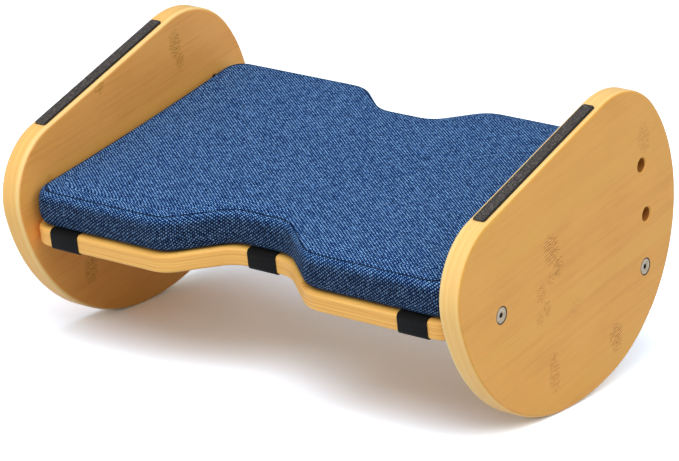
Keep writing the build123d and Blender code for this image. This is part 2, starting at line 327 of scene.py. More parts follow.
def knuckle_patches(tree, along, across, ragged, knuckles):
    """The strength of each knuckle in its middle, falling to 0 at its ragged rim."""
    patch = None
    for middle, height, reach, width, strength in knuckles:
        side = scaled(tree, across, 1 / width, -height / width)
        ahead = scaled(tree, along, 1 / reach, -middle / reach)
        spread = calc(tree, "MULTIPLY_ADD", ahead, ahead, ragged)
        spread = calc(tree, "MULTIPLY_ADD", side, side, spread)
        one = scaled(tree, limited(tree, spread, 1.4, 0.4), strength)
        patch = one if patch is None else calc(tree, "MAXIMUM", patch, one)
    return patch


def add_knuckles(tree, colour, along, across, knuckles):
    """Fine brown dashes along the grain, with pale ones between them.

    Gives the new colour and the strength of the brown dashes.
    """
    ragged = swing(tree, grains(tree, (along, across, 4.0), (0.12, 0.35), 3.0, 0.6), 3.0)
    patch = knuckle_patches(tree, along, across, ragged, knuckles)
    sway = grains(tree, (along, across, 6.0), (0.13, 0.33), 2.0)
    slant = calc(tree, "MULTIPLY_ADD", along, -DASH_SLANT, across)
    dash = wave(tree, calc(tree, "MULTIPLY_ADD", sway, 3.0, slant), DASH_PITCH)
    breaks = grains(tree, (along, slant, 8.0), (0.34, 0.55), 2.0)
    dash = calc(tree, "MULTIPLY", dash, limited(tree, breaks, 0.36, 0.60))
    scar = calc(tree, "MULTIPLY", patch, limited(tree, dash, 0.05, 0.5))
    glint = calc(tree, "MULTIPLY", patch, limited(tree, dash, -0.2, -0.7))
    colour = blend_colours(tree, scaled(tree, patch, 0.55), colour, KNUCKLE_BASE)
    colour = blend_colours(tree, scar, colour, KNUCKLE_BROWN)
    return blend_colours(tree, scaled(tree, glint, 0.9), colour, KNUCKLE_PALE), scar


def rim_colour(tree, along, across, depth, thickness, fibre, rim):
    """The edge of a board, where the plies show as faint lines along it."""
    light, dark = rim
    ply = from_middle(tree, scaled(tree, depth, PLIES / thickness))
    layers = grains(tree, (along, across, depth), (0.01, 0.01, 0.9), 3.0, 0.6)
    tone = total(tree, scaled(tree, layers, 1.1),
                 scaled(tree, limited(tree, ply, 0.42, 0.5), -0.30), swing(tree, fibre, 0.3))
    return blend_colours(tree, limited(tree, tone, 0.05, 0.85), dark, light)


def bamboo(tree, shader, along, across, depth, thickness, knuckles, face, rim, shift):
    """Strip bamboo board. along and across lie in its broad faces, and depth is measured from one.

    All three are sockets in millimetres. Gives the colour and the distance from the nearer face.
    """
    light, mid, dark, yellow = face
    bend = grains(tree, (along, across), (0.006, 0.02), 1.0)
    across_bent = calc(tree, "ADD", across, swing(tree, bend, 5.0))
    ply = scaled(tree, depth, (PLIES - PLY_SLACK) / thickness, PLY_SLACK / 2)
    layer = calc(tree, "FLOOR", ply)
    place = calc(tree, "MULTIPLY_ADD", layer, PLY_JUMP, across_bent)
    place = scaled(tree, place, 1 / STRIP_WIDTH, shift)
    strip = calc(tree, "FLOOR", place)
    own = white_noise(tree, "3D", strip, layer, shift)
    start = calc(tree, "MULTIPLY_ADD", own, STRIP_JUMP, along)

    cloud = grains(tree, (along, across, 2.0), (0.016, 0.026), 3.0)
    streak = grains(tree, (start, across_bent, depth), (0.008, 0.25, 0.25), 3.0, 0.55)
    fibre = grains(tree, (start, across_bent, depth), (0.035, 1.9, 1.9), 3.0, 0.6)
    tone = total(tree, scaled(tree, own, 0.12, 0.44), swing(tree, cloud, 0.50),
                 swing(tree, streak, 0.45), swing(tree, fibre, 0.30))
    colour = ramp(tree, tone, ((0.05, dark), (0.50, mid), (0.95, light)))

    hue = swing(tree, grains(tree, (along, across, 12.0), (0.012, 0.03), 2.0), 1.2)
    hue = calc(tree, "MULTIPLY_ADD", own, 0.5, hue)
    colour = blend_colours(tree, scaled(tree, limited(tree, hue, 0.1, 0.6), 0.5), colour, yellow)

    # long broken brown lines, most of them where two strips meet
    broken = limited(tree, grains(tree, (start, strip, 5.0), (0.022,), 2.0), 0.45, 0.62)
    joint = limited(tree, from_middle(tree, place), 0.46, 0.495)
    line = calc(tree, "MULTIPLY", joint, broken)
    thread = grains(tree, (start, across_bent, 9.0), (0.013, 0.55), 2.0, 0.4)
    thread = limited(tree, thread, 0.64, 0.74)
    line = calc(tree, "MAXIMUM", scaled(tree, line, 0.45), scaled(tree, thread, 0.45))
    colour = blend_colours(tree, line, colour, dark)
    colour, scar = add_knuckles(tree, colour, along, across, knuckles)

    inside = calc(tree, "MINIMUM", depth, scaled(tree, depth, -1.0, thickness))
    edge_colour = rim_colour(tree, along, across, depth, thickness, fibre, rim)
    colour = blend_colours(tree, limited(tree, inside, 0.35, 1.3), colour, edge_colour)

    height = calc(tree, "ADD", scaled(tree, fibre, 0.6), scaled(tree, scar, -0.3))
    add_bump(tree, shader, height, 0.10, 0.4)
    set_finish(tree, shader, Base_Color=colour, Roughness=scaled(tree, fibre, 0.10, 0.42),
               Specular_IOR_Level=0.20, Coat_Weight=0.05, Coat_Roughness=0.25)
    return colour, inside


def holes_and_rings(tree, shader, colour, inside, depth, along, across):
    """Paints shade on the drilled walls of the bolt holes, and a thin shadow ring round each bolt
    head.

    It also paints a highlight on the inner arris of the panel.
    """
    centres = [(0.0, 0.0)]
    for step in range(3):
        turn = radians(LOWEST_HOLE + step * HOLE_STEP - GRAIN_FROM_EDGE)
        centres.append((HOLE_DISTANCE * cos(turn), HOLE_DISTANCE * sin(turn)))
    spot = vector(tree, along, across)
    gaps = []
    for x, y in centres:
        gap = add_node(tree, "VectorMath", {0: spot, 1: (x, y, 0)}, operation="DISTANCE")
        gaps.append(gap.outputs["Value"])
    bolt = calc(tree, "MINIMUM", gaps[0], gaps[1])
    near = calc(tree, "MINIMUM", bolt, calc(tree, "MINIMUM", gaps[2], gaps[3]))
    # painted shade on the drilled walls of the holes
    wall = calc(tree, "MULTIPLY", limited(tree, near, HOLE_WIDTH / 2 + 0.35, HOLE_WIDTH / 2 + 0.1),
                limited(tree, inside, 0.1, 1.2))
    # painted contact shadow: a thin dark ring round each bolt head
    ring = limited(tree, bolt, BOLT_RING / 2 + 0.1, BOLT_RING / 2 - 0.25)
    # painted highlight along the inner arris
    arris = calc(tree, "MULTIPLY", limited(tree, depth, 0.15, 0.6), limited(tree, depth, 3.6, 2.8))
    colour = blend_colours(tree, scaled(tree, arris, 0.55), colour, ARRIS_HIGHLIGHT)
    colour = blend_colours(tree, wall, colour, HOLE_SHADE)
    colour = blend_colours(tree, ring, colour, BOLT_SHADOW)
    set_finish(tree, shader, Base_Color=colour)


def bamboo_panel(side):
    material, tree, shader, (x, along, across) = turned_material(
        f"bamboo_{side}_panel", PANEL_LEAN + GRAIN_FROM_EDGE)
    depth = scaled(tree, calc(tree, "ABSOLUTE", x), 1.0, -PANEL_INNER)
    colour, inside = bamboo(tree, shader, along, across, depth, PANEL_THICKNESS,
                            KNUCKLES[side], PANEL_FACE[side], PANEL_RIM[side], PANEL_SHIFT[side])
    holes_and_rings(tree, shader, colour, inside, depth, along, across)
    return material


def bamboo_board(name, shift, low, thickness):
    """Bamboo of the seat's own parts, its grain across the stool.

    low is the height of its lower face.
    """
    material, tree, shader, (along, across, up) = turned_material(name, SEAT_TILT)
    depth = scaled(tree, up, 1.0, -low)
    bamboo(tree, shader, along, across, depth, thickness, KNUCKLES["board"],
           BOARD_FACE, BOARD_RIM, shift)
    return material


# ---- woven cloth and foam -------------------------------------------------
ACROSS_PITCH = 1.75          # from yarn to yarn across the stool
DEPTH_PITCH = 1.37           # and from front to rear
BAND_FADE = 0.3              # share of the band over which the top's colours turn into the band's painted-shade colours
TONES = (0.02, 0.26, 0.54, 0.92)     # the tones at which the four colours of a cloth stand
TOP_CLOTH = srgb(0, 12, 48), srgb(8, 40, 98), srgb(44, 100, 174), srgb(146, 200, 255)
# the side band's colours are the top's cloth darker: painted shade, for the less light the band
# gets
BAND_CLOTH_IN_SHADE = srgb(2, 8, 24), srgb(8, 26, 58), srgb(36, 68, 114), srgb(112, 148, 190)
BUBBLES_PER_METRE = 900.0


def yarn_bulge(tree, round_side, round_length):
    """The height of a yarn, whose roundness counts more across it than along it."""
    return calc(tree, "MULTIPLY", round_side, scaled(tree, round_length, 0.45, 0.55))


def woven_cloth(name, top, shaded_band):
    """Plain weave of coarse mixed yarn, on a UV map in millimetres.

    The two colour sets, from dark to light, are for the top and the side band; the band's set is
    the top's cloth darkened, as painted shade.
    The cushion's attributes lowness and crease bring that painted shade onto its side band and
    deeper painted shade onto the band's foot and its seam.
    """
    material, tree, shader = new_material(name)
    x, y, _ = parts_of(tree, add_node(tree, "UVMap", uv_map="weave").outputs[0])
    low = attribute(tree, "lowness")
    on_band = limited(tree, low, 0.0, BAND_FADE)
    drift = swing(tree, grains(tree, (x, y), (0.045, 0.045), 2.0), 2.4)
    wobble = swing(tree, grains(tree, (x, y, 7.0), (0.45, 0.45), 2.0), 0.9)
    wobble = calc(tree, "MULTIPLY", wobble, scaled(tree, on_band, 1.3, 1.0))
    across = calc(tree, "ADD", x, calc(tree, "ADD", drift, wobble))
    along = calc(tree, "ADD", y, calc(tree, "SUBTRACT", wobble, drift))
    p = scaled(tree, across, 1 / ACROSS_PITCH)
    q = scaled(tree, along, 1 / DEPTH_PITCH)
    column, row = calc(tree, "FLOOR", p), calc(tree, "FLOOR", q)
    over = calc(tree, "PINGPONG", calc(tree, "ADD", column, row), 1.0)
    round_p, round_q = (calc(tree, "SINE", scaled(tree, calc(tree, "FRACT", at), pi))
                        for at in (p, q))
    warp = yarn_bulge(tree, round_p, round_q)
    weft = yarn_bulge(tree, round_q, round_p)
    height = calc(tree, "ADD", calc(tree, "MULTIPLY", warp, scaled(tree, over, -1.0, 1.0)),
                  calc(tree, "MULTIPLY", scaled(tree, weft, 0.75), over))

    # mixed yarn: each crossing has its own tone, and each yarn changes slowly along its length
    cell = white_noise(tree, "2D", column, row)
    yarn = grains(tree, (x, y, 1.0), (0.9, 0.25), 2.0)
    mottle = grains(tree, (x, y, 3.0), (0.12, 0.12), 3.0, 0.6)
    # the yarns are paler on their crowns and darker where they dip under others: painted shade
    tone = total(tree, scaled(tree, over, -0.46, 0.52), scaled(tree, height, 0.80, -0.36),
                 swing(tree, cell, 0.34), swing(tree, yarn, 0.30), swing(tree, mottle, 0.24))
    # below the seam the top's colours turn into the band's darker ones, as painted shade
    colour = blend_colours(tree, on_band, ramp(tree, tone, tuple(zip(TONES, top))),
                           ramp(tree, tone, tuple(zip(TONES, shaded_band))))
    # painted shade at the foot of the side band and in the seam
    seam_and_foot_shade = calc(tree, "MAXIMUM", scaled(tree, limited(tree, low, 0.86, 1.0), 0.75),
                  scaled(tree, limited(tree, attribute(tree, "crease"), 0.1, 0.85), 0.85))
    colour = blend_colours(tree, seam_and_foot_shade, colour, shaded_band[0])
    set_finish(tree, shader, Base_Color=colour, Roughness=0.92, Specular_IOR_Level=0.12)
    add_bump(tree, shader, height, 0.45, 0.9)
    return material


def foam():
    material, tree, shader = new_material("foam")
    place = object_place(tree)
    bubbles = add_node(tree, "TexVoronoi", {"Vector": place, "Scale": BUBBLES_PER_METRE}).outputs[0]
    shade = blend_colours(tree, bubbles, srgb(214, 207, 184), srgb(240, 235, 218))
    set_finish(tree, shader, Base_Color=shade, Roughness=0.95, Specular_IOR_Level=0.1)
    add_bump(tree, shader, bubbles, 0.3, 0.6)
    return material


# ---- webbing, grit and steel ----------------------------------------------
RIB_PITCH = 1.5
PICK_PITCH = 0.9


def elastic():
    """Black ribbed webbing that runs round the seat board."""
    material, tree, shader, (across, along, up) = turned_material("elastic", SEAT_TILT)
    rib = wave(tree, across, RIB_PITCH)
    pick = wave(tree, calc(tree, "ADD", along, up), PICK_PITCH)
    weave = calc(tree, "MULTIPLY", scaled(tree, rib, 0.5, 0.5), scaled(tree, pick, 0.3, 0.7))
    fluff = grains(tree, (across, along, up), (1.3, 0.5, 0.5), 3.0)
    tone = calc(tree, "MULTIPLY_ADD", weave, 0.6, scaled(tree, fluff, 0.4))
    colour = ramp(tree, tone, ((0.1, srgb(3, 3, 3)), (0.9, srgb(19, 18, 18))))
    set_finish(tree, shader, Base_Color=colour, Roughness=0.8, Specular_IOR_Level=0.15,
               Sheen_Weight=0.03, Sheen_Roughness=0.4)
    add_bump(tree, shader, weave, 0.2, 0.7)
    return material


GRIP_MIDDLE = 209.0          # from the middle of the stool
GRIP_WIDTH = 10.5
PEBBLES_PER_METRE = 1500.0
DUST_PER_METRE = 700.0
GRIT_TONES = (0.15, srgb(20, 20, 21)), (0.55, srgb(58, 54, 52)), (0.95, srgb(140, 132, 128))
GRIP_SHADE = srgb(12, 9, 7)  # along the right edge of each strip, seen from the front


def grit():
    """Dark mineral grains in a rubber binder."""
    material, tree, shader = new_material("grip_grit")
    place = object_place(tree)
    pebbles = add_node(tree, "TexVoronoi", {"Vector": place, "Scale": PEBBLES_PER_METRE})
    fine = noise_at(tree, place, 4.0, 0.7, scale=DUST_PER_METRE)
    pick = add_node(tree, "SeparateColor", {0: pebbles.outputs["Color"]}).outputs[0]
    tone = calc(tree, "MULTIPLY_ADD", pick, 0.55, scaled(tree, fine, 0.7, -0.12))
    colour = ramp(tree, tone, GRIT_TONES)
    x = parts_of(tree, place)[0]
    side = calc(tree, "MULTIPLY_ADD", calc(tree, "SIGN", x), -GRIP_MIDDLE, scaled(tree, x, 1 / MM))
    shaded = limited(tree, side, GRIP_WIDTH / 2 - 1.3, GRIP_WIDTH / 2 - 0.7)
    colour = blend_colours(tree, shaded, colour, GRIP_SHADE)
    set_finish(tree, shader, Base_Color=colour, Roughness=scaled(tree, pick, 0.35, 0.5),
               Specular_IOR_Level=0.45)
    height = calc(tree, "ADD", scaled(tree, pebbles.outputs[0], -0.8), fine)
    add_bump(tree, shader, height, 0.4, 0.8)
    return material


MARKS_PER_METRE = (300, 2600, 2600)  # fine turning marks, drawn out along the bolts
BLOTCHES_PER_METRE = (420, 420, 420)


def stretched_place(tree, per_metre):
    node = add_node(tree, "Mapping", {"Vector": object_place(tree), "Scale": per_metre})
    return node.outputs[0]


def steel(name, tone, roughness):
    material, tree, shader = new_material(name)
    marks = noise_at(tree, stretched_place(tree, MARKS_PER_METRE), 3.0, 0.6)
    blotch = noise_at(tree, stretched_place(tree, BLOTCHES_PER_METRE), 2.0, 0.5)
    blotch = limited(tree, blotch, 0.35, 0.65)
    paler = [min(1.0, c * 1.15) for c in tone[:3]] + [1.0]
    darker = [c * 0.62 for c in tone[:3]] + [1.0]
    colour = blend_colours(tree, marks, tone, paler)
    colour = blend_colours(tree, scaled(tree, blotch, 0.7), colour, darker)
    set_finish(tree, shader, Base_Color=colour, Metallic=1.0,
               Roughness=scaled(tree, marks, 0.15, roughness))
    add_bump(tree, shader, marks, 0.05, 0.4)
    return material


# ---- floor and surroundings -----------------------------------------------
FLOOR_SIZE = 8.0
FLOOR_WHITE = (0.60, 0.60, 0.60, 1.0)
FLOOR_SEEN = (1.49, 1.65, 1.88, 1.0)
WORLD_WHITE = (1, 1, 1, 1)
WORLD_LIGHT = 0.42


def floor_material():
    """White floor that keeps the object's shadow.

    It is paler where the camera sees it, straight, in a mirror or through glass.
    """
    material, tree, shader = new_material("floor")
    rays = add_node(tree, "LightPath").outputs
    seen = calc(tree, "MAXIMUM", rays["Is Camera Ray"], rays["Is Glossy Ray"])
    seen = calc(tree, "MAXIMUM", seen, rays["Is Transmission Ray"])
    white = blend_colours(tree, seen, FLOOR_WHITE, FLOOR_SEEN)
    matt = add_node(tree, "BsdfDiffuse", {"Color": white})
    output = shader.outputs[0].links[0].to_node
    tree.links.new(matt.outputs[0], output.inputs[0])
    tree.nodes.remove(shader)
    return material


def add_floor():
    bpy.ops.mesh.primitive_plane_add(size=FLOOR_SIZE, location=(0, 0, 0))
    floor = bpy.context.object
    floor.name = "floor"
    floor.data.materials.append(floor_material())


def set_world():
    """White to the camera and through glass, and a softer white as a light."""
    world = bpy.data.worlds.new("studio")
    bpy.context.scene.world = world
    world.use_nodes = True
    tree = world.node_tree
    tree.nodes.clear()
    rays = add_node(tree, "LightPath").outputs
    seen = calc(tree, "MAXIMUM", rays["Is Camera Ray"], rays["Is Transmission Ray"])
    light = add_node(tree, "Background", {"Color": WORLD_WHITE, "Strength": WORLD_LIGHT})
    white = add_node(tree, "Background", {"Color": WORLD_WHITE, "Strength": 1.0})
    either = add_node(tree, "MixShader", {0: seen, 1: light.outputs[0], 2: white.outputs[0]})
    add_node(tree, "OutputWorld", {0: either.outputs[0]})


# ---- outlines of the seat and the cushion ---------------------------------
ARC_STEPS = 20
CORNER_STEPS = 8             # over 45 degrees


def mirrored(points):
    return [Vector((-p.x, p.y)) for p in points]


def arc(centre, radius, start, end, steps=ARC_STEPS):
    angles = [radians(start + (end - start) * i / steps) for i in range(steps + 1)]
    return [Vector((centre[0] + radius * cos(a), centre[1] + radius * sin(a))) for a in angles]


def half_edge(edge, depth, way, half, corner):
    """From the middle of a waisted edge to the middle of its corner.

    way is 1 at the front and -1 at the rear.
    """
    turn = radians(WAIST_SLOPE)
    rise = WAIST_RADIUS * (1 - cos(turn))
    reach = WAIST_RADIUS * sin(turn)
    outer = WAIST_FLAT + 2 * reach + (depth - 2 * rise) / tan(turn)
    points = [Vector((0, edge + way * depth))]
    points += arc((WAIST_FLAT, edge + way * (depth - WAIST_RADIUS)), WAIST_RADIUS,
                  way * 90, way * (90 - WAIST_SLOPE))
    points += arc((outer, edge + way * WAIST_RADIUS), WAIST_RADIUS,
                  -way * (90 + WAIST_SLOPE), -way * 90)
    points += arc((half - corner, edge + way * corner), corner, -way * 90, -way * 45, CORNER_STEPS)
    return points


def lengths_along(points):
    """How far each point of a polyline is from its start."""
    lengths = [0.0]
    for a, b in zip(points, points[1:]):
        lengths.append(lengths[-1] + (b - a).length)
    return lengths


def spaced(points, count):
    """count + 1 points at equal steps along a polyline."""
    lengths = lengths_along(points)
    result = []
    i = 0
    for k in range(count + 1):
        target = lengths[-1] * k / count
        while i < len(points) - 2 and lengths[i + 1] < target:
            i += 1
        run = lengths[i + 1] - lengths[i]
        result.append(points[i].lerp(points[i + 1], (target - lengths[i]) / run if run else 0.0))
    return result


# ---- cushion --------------------------------------------------------------
CUSHION_GAP = 1.5            # to each side panel
CUSHION_INSET = 1.5          # from the front and rear edges of the board
CUSHION_CORNER = 12.0
CORNER_GROWTH = 0.5          # of its radius, for each millimetre that a ring is pulled in
CUSHION_BOW = 2.5            # the ends pull in between the corners
END_STEPS = 12
CUSHION_BASE = 9.1           # above the middle of the board
LONG_CELLS = 100             # mesh cells along an edge
SHORT_CELLS = 64             # and along an end

SEAM_HEIGHT = 29.4           # this and the heights below are above the base
TOP_HEIGHT = 31.3
CUSHION_PROFILE = (          # how far each ring is pulled in and its height, from the base up
    (6.0, 0.0), (3.6, 0.5), (2.1, 2.0), (1.2, 4.5), (0.7, 8.0), (0.5, 12.0), (0.6, 16.0),
    (0.9, 19.5), (1.2, 22.6), (1.6, 25.0), (2.2, 27.0), (3.0, 28.3), (3.8, 29.0), (4.4, 29.25),
    (5.0, SEAM_HEIGHT), (5.7, 29.65), (7.0, 30.0), (10.5, 30.6), (16.0, 31.1),
)
SEAM_RING = 14
SEAM_SHADE = (-1, 0.25), (0, 1.0), (1, 0.55)      # on the rings from below to above the seam
HELD_RINGS = 3               # from the base up
HELD_HEIGHT = 0.4            # all below this height is held too

PRESSURE_FRAMES = 20
CLOTH_SETTINGS = {
    "quality": 6, "mass": 0.25, "tension_stiffness": 18, "compression_stiffness": 18,
    "shear_stiffness": 8, "bending_stiffness": 1.5, "use_pressure": True,
    "uniform_pressure_force": 4.0, "vertex_group_mass": "held", "pin_stiffness": 1.0,
}
TOP_SWELL = 2.6              # how far the top may rise
BAND_SWELL = 0.7             # and the band may bulge
STILL = 1e-6                 # a shorter move is none
FILLING_INSET = 1.2
SEAM_DEPTH = 1.0
SEAM_LIP = 0.15
SEAM_WEIGHT = 0.9            # least weight of a point in the seam, once the mesh is made finer
LIP_WEIGHT = 0.2             # and of one on its lips


def cushion_ring(draw):
    """The cushion's outline pulled in by draw, as front, right, rear and left rows of points."""
    half = BOARD_HALF - CUSHION_GAP - draw
    front = BOARD_FRONT + CUSHION_INSET + draw
    rear = BOARD_REAR - CUSHION_INSET - draw
    corner = CUSHION_CORNER + CORNER_GROWTH * draw
    near = half_edge(front, FRONT_WAIST, 1, half, corner)
    far = half_edge(rear, REAR_WAIST, -1, half, corner)
    front_row = mirrored(near)[::-1] + near[1:]
    rear_row = far[::-1] + mirrored(far)[1:]
    length = rear - front - 2 * corner
    end = [Vector((half - CUSHION_BOW * (1 - (2 * t / END_STEPS - 1) ** 2),
                   front + corner + length * t / END_STEPS)) for t in range(END_STEPS + 1)]
    right = arc((half - corner, front + corner), corner, -45, 0, CORNER_STEPS)[:-1] + end
    right += arc((half - corner, rear - corner), corner, 0, 45, CORNER_STEPS)[1:]
    left = mirrored(right[::-1])
    return (spaced(front_row, LONG_CELLS), spaced(right, SHORT_CELLS),
            spaced(rear_row, LONG_CELLS), spaced(left, SHORT_CELLS))


def patch_points(rows):
    """A smooth sheet of points between the four rows of a ring."""
    front, right, rear, left = rows
    rear_back, left_back = rear[::-1], left[::-1]
    sheet = []
    for j in range(SHORT_CELLS + 1):
        v = j / SHORT_CELLS
        line = []
        for i in range(LONG_CELLS + 1):
            u = i / LONG_CELLS
            sides = front[i] * (1 - v) + rear_back[i] * v + left_back[j] * (1 - u) + right[j] * u
            corners = (front[0] * (1 - u) * (1 - v) + front[-1] * u * (1 - v)
                       + rear_back[0] * (1 - u) * v + rear_back[-1] * u * v)
            line.append(sides - corners)
        sheet.append(line)
    return sheet


def add_walls(bm, uv, rings):
    """The faces between the rings.

    The weave of the side band runs round it, and that of the top lies as seen from above.
    """
    count = len(rings[0])
    seam = rings[SEAM_RING]
    run = lengths_along([vert.co for vert in seam + seam[:1]])
    rise = lengths_along([ring[0].co for ring in rings])
    for level in range(len(rings) - 1):
        low, high = rings[level], rings[level + 1]
        for k in range(count):
            n = (k + 1) % count
            face = bm.faces.new((low[k], low[n], high[n], high[k]))
            corners = ((k, level), (k + 1, level), (k + 1, level + 1), (k, level + 1))
            for loop, (step, at) in zip(face.loops, corners):
                if level < SEAM_RING:
                    loop[uv].uv = (run[step], rise[at])
                else:
                    loop[uv].uv = (loop.vert.co.x, loop.vert.co.y)


def add_cap(bm, uv, ring, draw, height, below):
    """The sheet that closes the cushion inside its first or its last ring."""
    sheet = patch_points(cushion_ring(draw))
    grid = {}
    for j in range(SHORT_CELLS + 1):
        for i in range(LONG_CELLS + 1):
            if j == 0:
                vert = ring[i]
            elif i == LONG_CELLS:
                vert = ring[LONG_CELLS + j]
            elif j == SHORT_CELLS:
                vert = ring[2 * LONG_CELLS + SHORT_CELLS - i]
            elif i == 0:
                vert = ring[(2 * LONG_CELLS + 2 * SHORT_CELLS - j) % len(ring)]
            else:
                vert = bm.verts.new((sheet[j][i].x, sheet[j][i].y, CUSHION_BASE + height))
            grid[i, j] = vert
    for j in range(SHORT_CELLS):
        for i in range(LONG_CELLS):
            corners = [grid[i, j], grid[i + 1, j], grid[i + 1, j + 1], grid[i, j + 1]]
            face = bm.faces.new(corners[::-1] if below else corners)
            for loop in face.loops:
                loop[uv].uv = (loop.vert.co.x, loop.vert.co.y)


def mark_points(bm, rings, groups, lowness, crease):
    """Marks the seam, what is held while the cushion is blown up, and where the cloth gets painted
    shade.
    """
    seam_group, held_group = 0, 1
    for vert in rings[SEAM_RING]:
        vert[groups][seam_group] = 1.0
    for step, depth in SEAM_SHADE:
        for vert in rings[SEAM_RING + step]:
            vert[crease] = depth
    for ring in rings[:HELD_RINGS] + [rings[SEAM_RING]]:
        for vert in ring:
            vert[groups][held_group] = 1.0
    for vert in bm.verts:
        if vert.co.z < CUSHION_BASE + HELD_HEIGHT:
            vert[groups][held_group] = 1.0
        vert[lowness] = min(1.0, max(0.0, 1 - (vert.co.z - CUSHION_BASE) / SEAM_HEIGHT))


def cushion_mesh(name):
    """A boxed cushion as one closed mesh, with a UV map in millimetres.

    lowness is 0 on the top and 1 at the foot of the side band, and crease is 1 in the seam.
    """
    mesh = bpy.data.meshes.new(name)
    obj = bpy.data.objects.new(name, mesh)
    bpy.context.collection.objects.link(obj)
    bm = bmesh.new()
    uv = bm.loops.layers.uv.new("weave")
    groups = bm.verts.layers.deform.verify()
    lowness = bm.verts.layers.float.new("lowness")
    crease = bm.verts.layers.float.new("crease")
    rings = []
    for draw, height in CUSHION_PROFILE:
        points = [p for row in cushion_ring(draw) for p in row[:-1]]
        rings.append([bm.verts.new((p.x, p.y, CUSHION_BASE + height)) for p in points])
    add_walls(bm, uv, rings)
    add_cap(bm, uv, rings[-1], CUSHION_PROFILE[-1][0], TOP_HEIGHT, below=False)
    add_cap(bm, uv, rings[0], CUSHION_PROFILE[0][0], 0.0, below=True)
    obj.vertex_groups.new(name="seam")
    obj.vertex_groups.new(name="held")
    mark_points(bm, rings, groups, lowness, crease)
    for face in bm.faces:
        face.smooth = True
    bm.to_mesh(mesh)
    bm.free()
    return obj


def select_only(obj):
    bpy.ops.object.select_all(action="DESELECT")
    obj.select_set(True)
    bpy.context.view_layer.objects.active = obj


def apply_modifiers(obj):
    select_only(obj)
    for modifier in list(obj.modifiers):
        bpy.ops.object.modifier_apply(modifier=modifier.name)


def inflate(obj):
    """Blows the cushion up as cloth held at its seam and its base, then limits how far it moved."""
    before = [v.co.copy() for v in obj.data.vertices]
    cloth = obj.modifiers.new("cloth", "CLOTH")
    for name, value in CLOTH_SETTINGS.items():
        setattr(cloth.settings, name, value)
    cloth.settings.effector_weights.gravity = 0
    cloth.collision_settings.use_collision = False
    cloth.point_cache.frame_start = 1
    cloth.point_cache.frame_end = PRESSURE_FRAMES
    scene = bpy.context.scene
    for step in range(1, PRESSURE_FRAMES + 1):
        scene.frame_set(step)
    apply_modifiers(obj)
    scene.frame_set(1)
    seam_height = (CUSHION_BASE + SEAM_HEIGHT) * MM
    for vert, old in zip(obj.data.vertices, before):
        move = vert.co - old
        limit = (TOP_SWELL if old.z > seam_height else BAND_SWELL) * MM
        if move.length > STILL * MM:
            vert.co = old + move.normalized() * limit * tanh(move.length / limit)


def copy_as_filling(cover):
    """Foam just inside the cover."""
    filling = cover.copy()
    filling.data = cover.data.copy()
    filling.name = "foam_filling"
    bpy.context.collection.objects.link(filling)
    outward = [v.normal.copy() for v in filling.data.vertices]
    for vert, normal in zip(filling.data.vertices, outward):
        vert.co -= normal * FILLING_INSET * MM
    return filling


def press_seam(cover):
    """Makes the seam a narrow valley in the cover, with a low lip on each side."""
    seam_group = cover.vertex_groups["seam"].index
    normals = [v.normal.copy() for v in cover.data.vertices]
    for vert, normal in zip(cover.data.vertices, normals):
        weight = next((g.weight for g in vert.groups if g.group == seam_group), 0.0)
        if weight > SEAM_WEIGHT:
            vert.co -= normal * SEAM_DEPTH * MM
        elif weight > LIP_WEIGHT:
            vert.co += normal * SEAM_LIP * MM


def build_cushion(cloth_material, foam_material):
    cover = cushion_mesh("cushion_cover")
    for vert in cover.data.vertices:
        vert.co *= MM
    inflate(cover)
    fine = cover.modifiers.new("fine", "SUBSURF")
    fine.levels = 1
    fine.render_levels = 1
    fine.uv_smooth = "NONE"
    apply_modifiers(cover)
    filling = copy_as_filling(cover)
    press_seam(cover)
    for obj, material in ((cover, cloth_material), (filling, foam_material)):
        obj.data.materials.append(material)
        obj.data.transform(seat)
        obj.vertex_groups.clear()
        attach(obj, "stool")
    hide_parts("cushion_top_panel", "cushion_side_band", "cushion_base_panel")
    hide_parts("foam_core")


# ---- straps ---------------------------------------------------------------
STRAP_WIDTH = 27.0
STRAP_THICKNESS = 1.0
STRAP_FIT = 0.1              # between the board and the webbing
STRAP_TUCK = 14.0            # length of each end on top of the board
STRAP_OFFSET = 167.0         # from the middle strap to the outer ones
STRAP_ROUND = 3.0            # inside, over the edges of the board
ROUND_STEPS = 8
STRAP_ARRIS = 0.25
ARRIS_ANGLE = 60             # only sharper edges are softened
SMOOTH_ANGLE = 30


def pick_parts(kind, test):
    """In edit mode, selects the faces or edges whose middle and direction pass a test."""
    bpy.ops.mesh.select_mode(type=kind)
    bpy.ops.mesh.select_all(action="DESELECT")
    mesh = bpy.context.object.data
    bm = bmesh.from_edit_mesh(mesh)
    if kind == "FACE":
        for face in bm.faces:
            face.select_set(test(face.calc_center_median(), face.normal))
    else:
        for edge in bm.edges:
            first, last = (v.co for v in edge.verts)
            edge.select_set(test((first + last) / 2, last - first))
    bmesh.update_edit_mesh(mesh)


